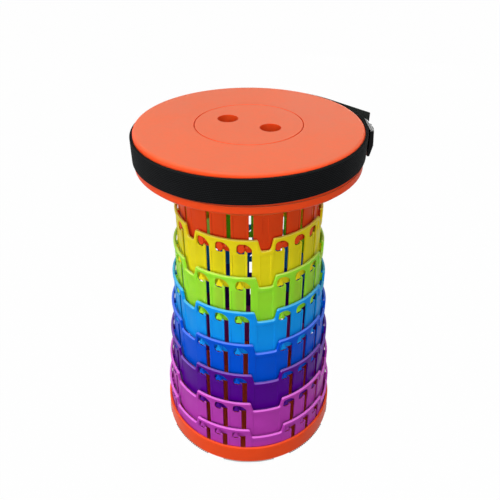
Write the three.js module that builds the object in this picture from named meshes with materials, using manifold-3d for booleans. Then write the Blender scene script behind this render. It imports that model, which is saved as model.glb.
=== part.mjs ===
import * as THREE from 'three';
import { mergeVertices } from 'three/addons/utils/BufferGeometryUtils.js';
import Module from 'manifold-3d';

const wasm = await Module();
wasm.setup();

// A telescopic stool: a round seat on nested rings that lock into each other by pegs in J-shaped windows.
// Millimetres, +Z up, origin on the floor at the centre. Angles start at the front (-Y) and grow towards +X.

// Rings: number 0 hangs from the seat and number 8 stands in the base
const lastRing = 8;
const stageStep = 45.8;
const ringOverlap = 18.3;
const lowestRim = 61.9;
const seatRingRadius = 78.76;
const wallThickness = 1.8;
const lipProud = 1;
const lipHeight = 4.2;
const lipSideWidth = 4;
const nestClearance = 1.72;
const fitGap = 0.3;
const overrun = 2;
const ringSegments = 30;
const seatSegments = 48;

// Six groups of three slots, and the raised stretch of rim above each group. Above the straight ring, each
// ring is turned a little further than the one below.
const groupCount = 6;
const groupAngle = THREE.MathUtils.degToRad(-16);
const straightRing = 5;
const ringTwist = THREE.MathUtils.degToRad(0.2);
const slotSpacingShare = 0.29463;
const slotWidthAtSeat = 4.5;
const slotWidthGrowth = 0.27;
const slotFoot = 9;
const notchDepth = 14.5;
const raisedLeftShare = 1.8;
const raisedRightShare = 1.5;
const notchLean = 3.2;

// J-shaped windows, measured from the slot's centre line and down from the rim, and the pegs locked in them
const windowTop = 5.2;
const windowDepth = 12.8;
const windowLeft = 13.6;
const windowCrest = 4;
const windowFall = 6;
const nibWidth = 2.5;
const nibHeight = 4.7;
const pegOffset = 8.7;
const pegFootWidth = 7.2;
const pegHeadWidth = 4.2;
const pegHeight = 11;
const pegRoot = 0.8;

// Seat
const seatOverhang = 7.2;
const plateThickness = 3.7;
const edgeRound = 4;
const skirtThickness = 2.5;
const ledgeProud = 1.4;
const footBandHeight = 7.5;
const footTaperHeight = 4.5;
const footTaperIn = 4.9;
const footThickness = 2.2;
const lobeCount = 8;
const lobeAngle = THREE.MathUtils.degToRad(2);
const lobeGapDepth = 2.8;
const lobeGapWidth = 44;
const lobeGapFoot = 62;

// Lid in the middle of the seat, with two finger holes, and the well that it lies in
const wellInset = 5.26;
const lidThickness = 2.6;
const lidRimThickness = 2.5;
const seatLedgeWidth = 3.4;
const seatLedgeDepth = 5;
const seatLedgeThickness = 2.4;
const collarThickness = 2.4;
const fingerHoleRadius = 11;
const fingerHoleSpacing = 53.4;
const fingerHoleAngle = THREE.MathUtils.degToRad(-30.4);
const fingerCollarThickness = 2;
const fingerCollarDepth = 9;
const lidSegments = 48;
const holeSegments = 16;

// Screws that hold the seat ring to bosses under the seat plate
const screwCount = 6;
const screwInset = 5.2;
const screwStart = THREE.MathUtils.degToRad(14);
const bossRadius = 3.6;
const bossHeight = 5;
const flangeWidth = 9;
const flangeThickness = 2.4;
const screwRadius = 1.4;
const screwHeadRadius = 3.1;
const screwHeadHeight = 1.9;
const screwBite = 4.4;
const screwSegments = 6;

// Base
const padThickness = 1.5;
const floorThickness = 2.5;
const baseHeight = 28.1;
const baseWallThickness = 3.6;
const baseDraft = 0.6;
const baseRound = 1.4;
const panelProud = 0.5;
const panelInset = 12;
const padCount = 8;
const padWidth = 8;
const padInset = 0.7;
const padAngle = THREE.MathUtils.degToRad(34);
const padSteps = 4;

// Strap and its adjuster
const webThickness = 1.3;
const webWidth = 26.6;
const webDrop = 16.9;
const webTilt = 2.4;
const tailStart = THREE.MathUtils.degToRad(96);
const tailLeave = THREE.MathUtils.degToRad(-230);
const tailLength = 62;
const adjusterLength = 35;
const adjusterHeight = 30;
const adjusterDrop = 1.8;
const adjusterThickness = 7;
const adjusterRearThickness = 4;
const adjusterRound = 3;
const adjusterSlot = 5;
const adjusterBar = 5.4;
const adjusterRail = 2;

// Colours
const orange = 0xee5a2e;
const yellow = 0xf2dd1a;
const lime = 0x93e01f;
const sky = 0x2aa6ef;
const blue = 0x2a5fe0;
const purple = 0x6a22b8;
const pink = 0xd552d8;
const ringColours = [orange, orange, yellow, lime, sky, blue, purple, pink, pink];
const webBlack = 0x17181a;
const plasticBlack = 0x0c0c0d;
const rubberGrey = 0x2b2b2c;
const screwSteel = 0x9a9ca0;

// Sizes that follow from those above
const turn = 2 * Math.PI;
const ringPitch = wallThickness + lipProud + nestClearance;
const lipRadius = (i) => seatRingRadius + i * ringPitch;
const wallRadius = (i) => lipRadius(i) - lipProud;
const boreRadius = (i) => wallRadius(i) - wallThickness;
const rimHeight = (i) => lowestRim + (lastRing - i) * stageStep;
const slotWidth = (i) => slotWidthAtSeat + i * slotWidthGrowth;
const windowFloor = windowTop + windowDepth;
const sectorAngle = turn / groupCount;
const slotSpacing = sectorAngle * seatRingRadius * slotSpacingShare;
const raisedLeft = slotSpacing * raisedLeftShare;
const raisedRight = slotSpacing * raisedRightShare;
const floorTop = padThickness + floorThickness;
const groupStart = (i) => groupAngle + Math.max(0, straightRing - i) * ringTwist;
const footHeight = (i) => (i === lastRing ? floorTop + fitGap : rimHeight(i + 1) - ringOverlap);
const plateBottom = rimHeight(0) + fitGap;
const seatTop = plateBottom + plateThickness;
const baseBore = wallRadius(lastRing) + fitGap;
const baseRadius = baseBore + baseWallThickness;
const seatRadius = baseRadius + seatOverhang;
const skirtBore = seatRadius - skirtThickness;
const webHeight = seatTop - webDrop;
const loopRadius = seatRadius + fitGap;
const tailRadius = loopRadius + webThickness + fitGap;
const ledgeTop = webHeight - webWidth / 2 - webTilt - fitGap;
const screwCircle = boreRadius(0) - screwInset;
const wellRadius = screwCircle - bossRadius - wellInset - collarThickness;
const lidRadius = wellRadius - fitGap - fitGap;
const bossBottom = plateBottom - bossHeight;
const flangeTop = bossBottom - fitGap;

function toSolid(geometry) {
  const plain = geometry.clone();
  plain.deleteAttribute('normal');
  plain.deleteAttribute('uv');
  const merged = mergeVertices(plain, 1e-4);
  return new wasm.Manifold(new wasm.Mesh({
    numProp: 3,
    vertProperties: new Float32Array(merged.attributes.position.array),
    triVerts: new Uint32Array(merged.index.array),
  }));
}

function toGeometry(solid) {
  const mesh = solid.getMesh();
  const geometry = new THREE.BufferGeometry();
  geometry.setAttribute('position', new THREE.BufferAttribute(mesh.vertProperties, 3));
  geometry.setIndex(new THREE.BufferAttribute(mesh.triVerts, 1));
  return geometry;
}

// A ring or disc turned about Z from points [radius, height], listed anticlockwise
function turned(points, segments) {
  const closed = [...points, points[0]];
  const open = points.some(([r]) => r === 0) ? points : closed;
  const geometry = new THREE.LatheGeometry(open.map(([r, z]) => new THREE.Vector2(r, z)), segments);
  return toSolid(geometry.rotateX(Math.PI / 2));
}

// A straight prism along a radius: its outline is [distance along the wall, height], from r0 out to r1
function radial(outline, r0, r1, angle) {
  const shape = new THREE.Shape(outline.map(([s, z]) => new THREE.Vector2(s, z)));
  const geometry = new THREE.ExtrudeGeometry(shape, { depth: r1 - r0, bevelEnabled: false });
  const along = new THREE.Vector3(Math.cos(angle), Math.sin(angle), 0);
  const out = new THREE.Vector3(Math.sin(angle), -Math.cos(angle), 0);
  const place = new THREE.Matrix4().makeBasis(along, new THREE.Vector3(0, 0, 1), out);
  place.setPosition(out.clone().multiplyScalar(r0));
  return toSolid(geometry.applyMatrix4(place));
}

// An upright prism of a plan outline [x, y]
function upright(outline, z0, z1) {
  const shape = new THREE.Shape(outline.map(([x, y]) => new THREE.Vector2(x, y)));
  const geometry = new THREE.ExtrudeGeometry(shape, { depth: z1 - z0, bevelEnabled: false });
  return toSolid(geometry.translate(0, 0, z0));
}

function onCircle(radius, angle) {
  return [radius * Math.sin(angle), -radius * Math.cos(angle)];
}

function post(radius, segments, x, y, z0, z1) {
  const geometry = new THREE.CylinderGeometry(radius, radius, z1 - z0, segments);
  return toSolid(geometry.rotateX(Math.PI / 2).translate(x, y, (z0 + z1) / 2));
}

function slotAngles(i) {
  const angles = [];
  for (let group = 0; group < groupCount; group += 1) {
    for (const place of [-1, 0, 1]) {
      angles.push(groupStart(i) + group * sectorAngle + (place * slotSpacing) / wallRadius(i));
    }
  }
  return angles;
}

// The slot and the J-shaped window above it, as one outline
function windowOutline(i) {
  const rim = rimHeight(i);
  const half = slotWidth(i) / 2;
  const foot = footHeight(i) + slotFoot;
  return [
    [half, foot],
    [half, rim - windowTop - windowFall],
    [-windowCrest, rim - windowTop],
    [-windowLeft, rim - windowTop],
    [-windowLeft, rim - windowFloor],
    [-half - nibWidth, rim - windowFloor],
    [-half, rim - windowFloor + nibHeight],
    [-half, foot],
  ];
}

function pegOutline(i) {
  const bottom = rimHeight(i + 1) - windowFloor + fitGap;
  const foot = pegFootWidth / 2;
  const head = pegHeadWidth / 2;
  return [[-foot, bottom], [foot, bottom], [head, bottom + pegHeight], [-head, bottom + pegHeight]];
}

function addPegs(wall, i) {
  const tip = boreRadius(i + 1) * Math.cos(Math.PI / ringSegments) - fitGap;
  let result = wall;
  for (const slot of slotAngles(i + 1)) {
    const angle = slot - pegOffset / wallRadius(i + 1);
    result = result.add(radial(pegOutline(i), wallRadius(i) - pegRoot, tip, angle));
  }
  return result;
}

// The outer lip follows the stepped rim, so the face below it is cut back under each raised stretch
function cutBelowLip(wall, i) {
  const low = rimHeight(i) - notchDepth - lipHeight;
  const band = turned([
    [wallRadius(i), low - overrun],
    [lipRadius(i) + overrun, low - overrun],
    [lipRadius(i) + overrun, rimHeight(i) - lipHeight],
    [wallRadius(i), rimHeight(i) - lipHeight],
  ], ringSegments);
  let result = wall;
  for (let group = 0; group < groupCount; group += 1) {
    const angle = groupStart(i) + group * sectorAngle;
    const reach = lipRadius(i) / Math.cos(sectorAngle / 2) + overrun;
    const start = angle - (raisedLeft - lipSideWidth) / wallRadius(i);
    const end = angle + (raisedRight - lipSideWidth) / wallRadius(i);
    const wedge = upright(
      [[0, 0], onCircle(reach, start), onCircle(reach, (start + end) / 2), onCircle(reach, end)],
      low - overrun - overrun,
      rimHeight(i),
    );
    result = result.subtract(band.intersect(wedge));
  }
  return result;
}

function cutNotches(wall, i) {
  const notchWidth = sectorAngle * wallRadius(i) - raisedLeft - raisedRight;
  const centre = groupStart(i) + sectorAngle / 2 + (raisedRight - raisedLeft) / 2 / wallRadius(i);
  const foot = notchWidth / 2;
  const low = rimHeight(i) - notchDepth;
  const high = rimHeight(i) + overrun;
  const head = foot + (notchLean * (high - low)) / notchDepth;
  const outline = [[-foot, low], [foot, low], [head, high], [-head, high]];
  let result = wall;
  for (let group = 0; group < groupCount; group += 1) {
    const angle = centre + group * sectorAngle;
    result = result.subtract(radial(outline, boreRadius(i) - overrun * 2, lipRadius(i) + overrun, angle));
  }
  return result;
}

function ringWall(i) {
  const foot = footHeight(i);
  const rim = rimHeight(i);
  const lipFoot = rim - notchDepth - lipHeight;
  return turned([
    [boreRadius(i), foot],
    [wallRadius(i), foot],
    [wallRadius(i), lipFoot],
    [lipRadius(i), lipFoot],
    [lipRadius(i), rim],
    [boreRadius(i), rim],
  ], ringSegments);
}

function steppedRing(i) {
  let wall = cutNotches(cutBelowLip(ringWall(i), i), i);
  for (const angle of slotAngles(i)) {
    wall = wall.subtract(radial(windowOutline(i), boreRadius(i) - overrun, lipRadius(i) + overrun, angle));
  }
  return i < lastRing ? addPegs(wall, i) : wall;
}

function screwPlaces() {
  const step = turn / screwCount;
  return Array.from({ length: screwCount }, (_, n) => onCircle(screwCircle, screwStart + n * step));
}

// The plain ring under the seat, with an inner flange for the screws
function seatRing() {
  const inner = boreRadius(0);
  const flangeBore = inner - flangeWidth;
  let ring = turned([
    [inner, footHeight(0)],
    [wallRadius(0), footHeight(0)],
    [wallRadius(0), rimHeight(0)],
    [inner, rimHeight(0)],
    [inner, flangeTop],
    [flangeBore, flangeTop],
    [flangeBore, flangeTop - flangeThickness],
    [inner, flangeTop - flangeThickness],
  ], ringSegments);
  for (const [x, y] of screwPlaces()) {
    const low = flangeTop - flangeThickness - overrun;
    ring = ring.subtract(post(screwRadius + fitGap, screwSegments, x, y, low, flangeTop + overrun));
  }
  return addPegs(ring, 0);
}

function seatShell() {
  const restTop = seatTop - seatLedgeDepth;
  const restBottom = restTop - seatLedgeThickness;
  const collar = wellRadius + collarThickness;
  const ledgeRadius = seatRadius + ledgeProud;
  const taperTop = ledgeTop - footBandHeight;
  const foot = taperTop - footTaperHeight;
  let shell = turned([
    [wellRadius, seatTop],
    [wellRadius, restTop],
    [wellRadius - seatLedgeWidth, restTop],
    [wellRadius - seatLedgeWidth, restBottom],
    [collar, restBottom],
    [collar, plateBottom],
    [skirtBore, plateBottom],
    [skirtBore, taperTop],
    [ledgeRadius - footTaperIn - footThickness, foot],
    [ledgeRadius - footTaperIn, foot],
    [ledgeRadius, taperTop],
    [ledgeRadius, ledgeTop],
    [seatRadius, ledgeTop],
    [seatRadius, seatTop - edgeRound],
    [seatRadius - edgeRound / 3, seatTop - edgeRound / 3],
    [seatRadius - edgeRound, seatTop],
  ], seatSegments);
  const gap = [
    [-lobeGapFoot / 2, foot - overrun],
    [lobeGapFoot / 2, foot - overrun],
    [lobeGapWidth / 2, foot + lobeGapDepth],
    [-lobeGapWidth / 2, foot + lobeGapDepth],
  ];
  for (let lobe = 0; lobe < lobeCount; lobe += 1) {
    const angle = lobeAngle + ((lobe + 1 / 2) * turn) / lobeCount;
    shell = shell.subtract(radial(gap, skirtBore - seatOverhang, ledgeRadius + overrun, angle));
  }
  for (const [x, y] of screwPlaces()) {
    const boss = post(bossRadius, screwSegments, x, y, bossBottom, plateBottom + plateThickness / 2);
    const holeTop = bossBottom + screwBite + fitGap;
    const hole = post(screwRadius + fitGap, screwSegments, x, y, bossBottom - overrun, holeTop);
    shell = shell.add(boss).subtract(hole);
  }
  return shell;
}

function seatLid() {
  const bottom = seatTop - seatLedgeDepth + fitGap;
  const underside = seatTop - lidThickness;
  const rimBore = lidRadius - lidRimThickness;
  let lid = turned([
    [0, underside],
    [rimBore, underside],
    [rimBore, bottom],
    [lidRadius, bottom],
    [lidRadius, seatTop],
    [0, seatTop],
  ], lidSegments);
  const reach = fingerHoleSpacing / 2;
  for (const side of [-1, 1]) {
    const x = side * reach * Math.cos(fingerHoleAngle);
    const y = side * reach * Math.sin(fingerHoleAngle);
    const outer = fingerHoleRadius + fingerCollarThickness;
    const collar = post(outer, holeSegments, x, y, seatTop - fingerCollarDepth, seatTop - lidThickness / 2);
    const low = seatTop - fingerCollarDepth - overrun;
    const hole = post(fingerHoleRadius, holeSegments, x, y, low, seatTop + overrun);
    lid = lid.add(collar).subtract(hole);
  }
  return lid;
}

function screw(x, y) {
  const seatFace = flangeTop - flangeThickness - fitGap;
  const head = post(screwHeadRadius, screwSegments, x, y, seatFace - screwHeadHeight, seatFace);
  const shankFoot = seatFace - screwHeadHeight / 2;
  const shank = post(screwRadius, screwSegments, x, y, shankFoot, bossBottom + screwBite);
  return head.add(shank);
}

// The base is a dish that closes the foot of the stool, with a flat panel between the pads underneath
function baseRing() {
  const top = baseHeight;
  const panelRadius = baseRadius - padInset - padWidth - panelInset;
  return turned([
    [0, padThickness - panelProud],
    [panelRadius, padThickness - panelProud],
    [panelRadius, padThickness],
    [baseRadius, padThickness],
    [baseRadius - baseDraft, top - baseRound],
    [baseRadius - baseDraft - baseRound / 3, top - baseRound / 3],
    [baseRadius - baseDraft - baseRound, top],
    [baseBore, top],
    [baseBore, floorTop],
    [0, floorTop],
  ], ringSegments);
}

// A rubber pad under the rim of the base, a stretch of a flat ring
function footPad(n) {
  const middle = (n * turn) / padCount;
  const outer = (baseRadius - padInset) * Math.cos(Math.PI / ringSegments);
  const arc = Array.from({ length: padSteps + 1 }, (_, k) => middle + padAngle * (k / padSteps - 1 / 2));
  const far = arc.map((a) => onCircle(outer, a));
  const near = arc.reverse().map((a) => onCircle(outer - padWidth, a));
  return upright([...far, ...near], 0, padThickness);
}

// Webbing that hangs lower on the left than on the right, as the strap does
function tilted(solid) {
  const lean = new THREE.Matrix4().makeShear(0, webTilt / seatRadius, 0, 0, 0, 0);
  const geometry = toGeometry(solid);
  return toSolid(geometry.applyMatrix4(lean));
}

function strapLoop() {
  const low = webHeight - webWidth / 2;
  return tilted(turned([
    [loopRadius, low],
    [loopRadius + webThickness, low],
    [loopRadius + webThickness, low + webWidth],
    [loopRadius, low + webWidth],
  ], seatSegments));
}

// The outer turn of the strap: it starts under the adjuster, goes round by the left and ends loose
function strapTail() {
  const low = webHeight - webWidth / 2;
  const step = turn / seatSegments;
  const angles = [tailStart];
  for (let a = Math.ceil(tailStart / step - 1) * step; a > tailLeave; a -= step) {
    angles.push(a);
  }
  angles.push(tailLeave);
  const inner = angles.map((a) => onCircle(tailRadius, a));
  const outer = angles.map((a) => onCircle(tailRadius + webThickness, a));
  const heading = [-Math.cos(tailLeave), -Math.sin(tailLeave)];
  const loose = (point) => point.map((v, axis) => v + heading[axis] * tailLength);
  const tip = [loose(outer[outer.length - 1]), loose(inner[inner.length - 1])];
  return tilted(upright([...outer, ...tip, ...inner.reverse()], low, low + webWidth));
}

// A one-piece ladder adjuster for webbing, flat against the strap on the right side
function strapAdjuster() {
  const face = tailRadius + webThickness + fitGap;
  const half = adjusterLength / 2;
  const middle = webHeight + webTilt - adjusterDrop;
  const low = middle - adjusterHeight / 2;
  const body = upright([
    [face, -half],
    [face + adjusterThickness - adjusterRound, -half],
    [face + adjusterThickness, -half + adjusterRound],
    [face + adjusterThickness, 0],
    [face + adjusterRearThickness, half - adjusterRound],
    [face + adjusterRearThickness - adjusterRound / 2, half],
    [face, half],
  ], low, low + adjusterHeight);
  const slotHalf = adjusterHeight / 2 - adjusterRail;
  let frame = body;
  for (const side of [-1, 1]) {
    const near = (side * adjusterBar) / 2;
    const far = near + side * adjusterSlot;
    const outline = [
      [Math.min(near, far), middle - slotHalf],
      [Math.max(near, far), middle - slotHalf],
      [Math.max(near, far), middle + slotHalf],
      [Math.min(near, far), middle + slotHalf],
    ];
    const cut = radial(outline, face - overrun, face + adjusterThickness + overrun, turn / 4);
    frame = frame.subtract(cut);
  }
  return frame;
}

const stool = new THREE.Group();

function addPiece(name, solid, color, roughness, metalness = 0) {
  const material = new THREE.MeshStandardMaterial({ color, roughness, metalness });
  const mesh = new THREE.Mesh(toGeometry(solid), material);
  mesh.name = name;
  stool.add(mesh);
}

addPiece('seat_shell', seatShell(), orange, 0.45);
addPiece('seat_lid', seatLid(), orange, 0.45);
addPiece('seat_ring', seatRing(), orange, 0.45);
screwPlaces().forEach(([x, y], n) => addPiece(`seat_screw_${n + 1}`, screw(x, y), screwSteel, 0.35, 1));
for (let i = 1; i <= lastRing; i += 1) {
  addPiece(`ring_${i}`, steppedRing(i), ringColours[i], 0.4);
}
addPiece('base_ring', baseRing(), orange, 0.45);
for (let n = 0; n < padCount; n += 1) {
  addPiece(`foot_pad_${n + 1}`, footPad(n), rubberGrey, 0.9);
}
addPiece('strap_loop', strapLoop(), webBlack, 0.9);
addPiece('strap_tail', strapTail(), webBlack, 0.9);
addPiece('strap_adjuster', strapAdjuster(), plasticBlack, 0.25);

export default stool;
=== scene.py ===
import math

import bpy
from mathutils import Matrix, Vector


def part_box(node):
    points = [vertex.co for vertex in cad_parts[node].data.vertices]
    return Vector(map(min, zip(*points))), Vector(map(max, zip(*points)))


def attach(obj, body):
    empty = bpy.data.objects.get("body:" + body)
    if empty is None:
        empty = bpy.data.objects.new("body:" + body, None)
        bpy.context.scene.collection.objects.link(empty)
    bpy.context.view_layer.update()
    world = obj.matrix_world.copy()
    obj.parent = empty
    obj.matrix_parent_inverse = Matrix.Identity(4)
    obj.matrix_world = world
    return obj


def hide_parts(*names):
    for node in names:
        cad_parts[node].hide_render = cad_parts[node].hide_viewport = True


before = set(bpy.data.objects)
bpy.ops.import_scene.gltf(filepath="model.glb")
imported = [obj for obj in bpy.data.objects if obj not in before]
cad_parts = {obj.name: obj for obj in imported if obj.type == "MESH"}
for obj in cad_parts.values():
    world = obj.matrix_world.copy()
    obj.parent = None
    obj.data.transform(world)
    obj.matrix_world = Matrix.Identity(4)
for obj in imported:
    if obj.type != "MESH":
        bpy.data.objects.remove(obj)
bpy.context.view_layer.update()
bpy.ops.object.select_all(action="DESELECT")
mm = 0.001  # sizes below are in millimetres
over = 2  # how far cutters run past what they cut
sunk = 1  # how far a part reaches into the part that it joins
close = 0.01  # how near to a line a point counts as on it
print("frame loaded:", len(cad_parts), "nodes")


# Everyday helpers
def activate(piece):
    bpy.ops.object.select_all(action="DESELECT")
    piece.select_set(True)
    bpy.context.view_layer.objects.active = piece


def modify(piece, kind, **settings):  # adds a modifier and applies it
    activate(piece)
    bpy.ops.object.modifier_add(type=kind)
    modifier = piece.modifiers[-1]
    for key, value in settings.items():
        setattr(modifier, key, value)
    bpy.ops.object.modifier_apply(modifier=modifier.name)


def combine(piece, other, operation="DIFFERENCE"):
    modify(piece, "BOOLEAN", operation=operation, object=other, solver="EXACT")
    bpy.data.objects.remove(other)


def joined(parts):
    activate(parts[0])
    for part in parts:
        part.select_set(True)
    if len(parts) > 1:
        bpy.ops.object.join()
    return bpy.context.view_layer.objects.active


def copyOf(piece, move=(0, 0, 0), turn=0):  # a copy with its own mesh, moved, then turned about Z
    twin = piece.copy()
    twin.data = piece.data.copy()
    twin.data.transform(Matrix.Rotation(turn, 4, "Z") @ Matrix.Translation(Vector(move) * mm))
    bpy.context.collection.objects.link(twin)
    return twin


def spread(piece, moves):  # copies of a cutter at all the places, as one object
    copies = [copyOf(piece, move) for move in moves]
    bpy.data.objects.remove(piece)
    return joined(copies)


def pick(piece, kind, test):  # goes to edit mode with the elements selected whose points all pass the test
    activate(piece)
    bpy.ops.object.mode_set(mode="EDIT")
    bpy.ops.mesh.select_mode(type=kind)
    bpy.ops.mesh.select_all(action="DESELECT")
    bpy.ops.object.mode_set(mode="OBJECT")
    passed = [test(v.co / mm) for v in piece.data.vertices]
    if kind == "VERT":
        for vertex in piece.data.vertices:
            vertex.select = passed[vertex.index]
    for element in {"VERT": [], "EDGE": piece.data.edges, "FACE": piece.data.polygons}[kind]:
        element.select = all(passed[v] for v in element.vertices)
    bpy.ops.object.mode_set(mode="EDIT")


def leaveEdit():
    bpy.ops.mesh.select_mode(type="VERT")
    bpy.ops.object.mode_set(mode="OBJECT")


def editAll(piece):  # goes to edit mode with everything selected
    activate(piece)
    bpy.ops.object.mode_set(mode="EDIT")
    bpy.ops.mesh.select_all(action="SELECT")


def leaveOutwards():  # turns the selected faces outwards, then leaves edit mode
    bpy.ops.mesh.normals_make_consistent(inside=False)
    bpy.ops.object.mode_set(mode="OBJECT")


def tidyMesh(piece, gap=close):  # merges doubles, then turns all faces outwards
    editAll(piece)
    bpy.ops.mesh.remove_doubles(threshold=gap * mm)
    leaveOutwards()


def closeEnds(piece):  # caps what is spun through less than a full turn
    editAll(piece)
    bpy.ops.mesh.fill_holes(sides=0)
    leaveOutwards()


def extrude(piece, *moves):  # draws a flat loop out to a solid, one move after another
    editAll(piece)
    for move in moves:
        bpy.ops.mesh.extrude_region_move(TRANSFORM_OT_translate={"value": [step * mm for step in move]})
    bpy.ops.mesh.select_all(action="SELECT")
    leaveOutwards()


def rounded(corners, steps=4):  # corners (u, v, radius) to points, with an arc at each corner with a radius
    points, most = [], 0.48  # the most of a side that one arc takes
    for k, (u, v, radius) in enumerate(corners):
        here = Vector((u, v))
        toLast = Vector(corners[k - 1][:2]) - here
        toNext = Vector(corners[(k + 1) % len(corners)][:2]) - here
        if radius == 0:
            points.append(here)
            continue
        half = toLast.angle(toNext) / 2
        reach = min(radius / math.tan(half), most * toLast.length, most * toNext.length)
        middle = here + (toLast.normalized() + toNext.normalized()).normalized() * reach / math.cos(half)
        start = here + toLast.normalized() * reach - middle
        sweep = start.angle_signed(here + toNext.normalized() * reach - middle)
        for n in range(steps + 1):
            points.append(middle + Matrix.Rotation(-sweep * n / steps, 2) @ start)
    return [tuple(p) for p in points]


def flatLoop(name, places, fill="NGON"):  # a circle whose points are moved to the places given
    bpy.ops.mesh.primitive_circle_add(vertices=len(places), fill_type=fill)
    loop = bpy.context.object
    loop.name = loop.data.name = name
    for vertex, place in zip(loop.data.vertices, places):
        vertex.co = Vector(place) * mm
    return loop


def plate(name, outline, back, front):  # an outline (x, z) as a plate from y = back to y = front
    piece = flatLoop(name, [(x, back, z) for x, z in outline])
    extrude(piece, (0, front - back, 0))
    return piece


def block(name, low, high):
    centre = (Vector(low) + Vector(high)) / 2 * mm
    bpy.ops.mesh.primitive_cube_add(size=1, location=centre, scale=(Vector(high) - Vector(low)) * mm)
    bpy.ops.object.transform_apply(location=True, rotation=True, scale=True)
    bpy.context.object.name = name
    return bpy.context.object


def post(name, radius, low, high, x=0, y=0, sides=48):
    place = (x * mm, y * mm, (low + high) / 2 * mm)
    bpy.ops.mesh.primitive_cylinder_add(vertices=sides, radius=radius * mm, depth=(high - low) * mm,
                                        location=place)
    bpy.ops.object.transform_apply(location=True, rotation=True, scale=True)
    bpy.context.object.name = name
    return bpy.context.object


def spun(name, profile, steps=144, sweep=360, start=0):  # points (radius, z), spun about Z from the front
    piece = flatLoop(name, [(0, -r, z) for r, z in profile], "NOTHING")
    if sum(r == 0 for r, z in profile) > 1:
        pick(piece, "EDGE", lambda p: abs(p.y) < close)
        bpy.ops.mesh.delete(type="EDGE")
        leaveEdit()
    editAll(piece)  # spin turns clockwise, so the sweep is negative
    bpy.ops.mesh.spin(steps=steps, angle=-math.radians(sweep), center=(0, 0, 0), axis=(0, 0, 1))
    bpy.ops.object.mode_set(mode="OBJECT")
    piece.data.transform(Matrix.Rotation(math.radians(start), 4, "Z"))
    tidyMesh(piece)
    return piece


def roundEdges(piece, width, segments=2, limit=35, clamp=True):
    modify(piece, "BEVEL", width=width * mm, segments=segments, limit_method="ANGLE",
           angle_limit=math.radians(limit), use_clamp_overlap=clamp)


def bevelWhere(piece, test, width, segments=3, clamp=False):  # rounds the edges whose points pass the test
    pick(piece, "EDGE", test)
    bpy.ops.mesh.bevel(offset=width * mm, segments=segments, affect="EDGES", clamp_overlap=clamp)
    leaveEdit()


def smooth(piece, angle=40):
    activate(piece)
    bpy.ops.object.shade_smooth_by_angle(angle=math.radians(angle))
    modify(piece, "WEIGHTED_NORMAL", weight=80, keep_sharp=True)


def finishPiece(piece, name, body, slot, material, *nodes):
    piece.name = piece.data.name = name
    piece.data.materials.clear()
    piece.data.materials.append(material)
    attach(piece, body)
    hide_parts(*nodes)
    print(name, "has", len(piece.data.polygons), "faces")


# Shared effects, each a node group that several materials use
def newGroup(name, inputs, outputs):
    group = bpy.data.node_groups.new(name, "ShaderNodeTree")
    for label, kind, value in inputs:
        socket = group.interface.new_socket(label, in_out="INPUT", socket_type=kind)
        if value is not None:
            socket.default_value = value
    for label, kind in outputs:
        group.interface.new_socket(label, in_out="OUTPUT", socket_type=kind)
    return group, group.nodes.new("NodeGroupInput"), group.nodes.new("NodeGroupOutput")


def node(tree, kind, inputs=(), **settings):  # a node with its settings, and its inputs set or linked
    made = tree.nodes.new(kind)
    for key, value in settings.items():
        setattr(made, key, value)
    for key, value in dict(inputs).items():
        if isinstance(value, bpy.types.NodeSocket):
            tree.links.new(value, made.inputs[key])
        else:
            made.inputs[key].default_value = value
    return made


def maths(tree, operation, *values):
    return node(tree, "ShaderNodeMath", enumerate(values), operation=operation).outputs[0]


def ramp(tree, value, low=0.0, high=1.0, start=0.0, end=1.0):  # low to high becomes start to end
    return node(tree, "ShaderNodeMapRange", {"Value": value, "From Min": low, "From Max": high,
                                             "To Min": start, "To Max": end}).outputs[0]


def noise(tree, place, scale, detail):
    made = node(tree, "ShaderNodeTexNoise", {"Vector": place, "Scale": scale, "Detail": detail})
    return made.outputs["Fac"]


def blend(tree, share, first, second):
    return node(tree, "ShaderNodeMix", {"Factor": share, 6: first, 7: second}, data_type="RGBA").outputs[2]


def scaled(tree, colour, gain):
    return node(tree, "ShaderNodeVectorMath", {0: colour, "Scale": gain}, operation="SCALE").outputs[0]


skinLook = {"clouds": 22.0, "uneven": 0.08, "speckle": 0.06}


def makeMouldedSkin():  # grain, faint clouding and uneven gloss of a moulded plastic part
    group, start, end = newGroup("mouldedSkin", [
        ("Vector", "NodeSocketVector", None),
        ("Colour", "NodeSocketColor", (0.8, 0.2, 0.1, 1)),
        ("Grain Size", "NodeSocketFloat", 900.0),
        ("Clouding", "NodeSocketFloat", 0.1),
        ("Roughness", "NodeSocketFloat", 0.4),
    ], [("Colour", "NodeSocketColor"), ("Roughness", "NodeSocketFloat"), ("Height", "NodeSocketFloat")])
    given = start.outputs
    grain = noise(group, given["Vector"], given["Grain Size"], 2.0)
    shade = ramp(group, noise(group, given["Vector"], skinLook["clouds"], 4.0), 0.3, 0.7, -0.5, 0.5)
    gain = maths(group, "ADD", maths(group, "MULTIPLY", shade, given["Clouding"]), 1.0)
    uneven = maths(group, "MULTIPLY", shade, skinLook["uneven"])
    speckle = ramp(group, grain, start=-skinLook["speckle"], end=skinLook["speckle"])
    rough = maths(group, "ADD", maths(group, "ADD", given["Roughness"], uneven), speckle)
    group.links.new(scaled(group, given["Colour"], gain), end.inputs["Colour"])
    group.links.new(rough, end.inputs["Roughness"])
    group.links.new(grain, end.inputs["Height"])
    return group


# pale dust for the plastics, and a paler orange that paints the sheen of the light from above on the seat's
# top
dustAndSheenLook = {"colour": (0.6, 0.57, 0.53, 1), "seatSheenColour": (0.36, 0.15, 0.08, 1), "specks": 260.0,
            "thin": 0.85, "steepest": 0.4}


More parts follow.
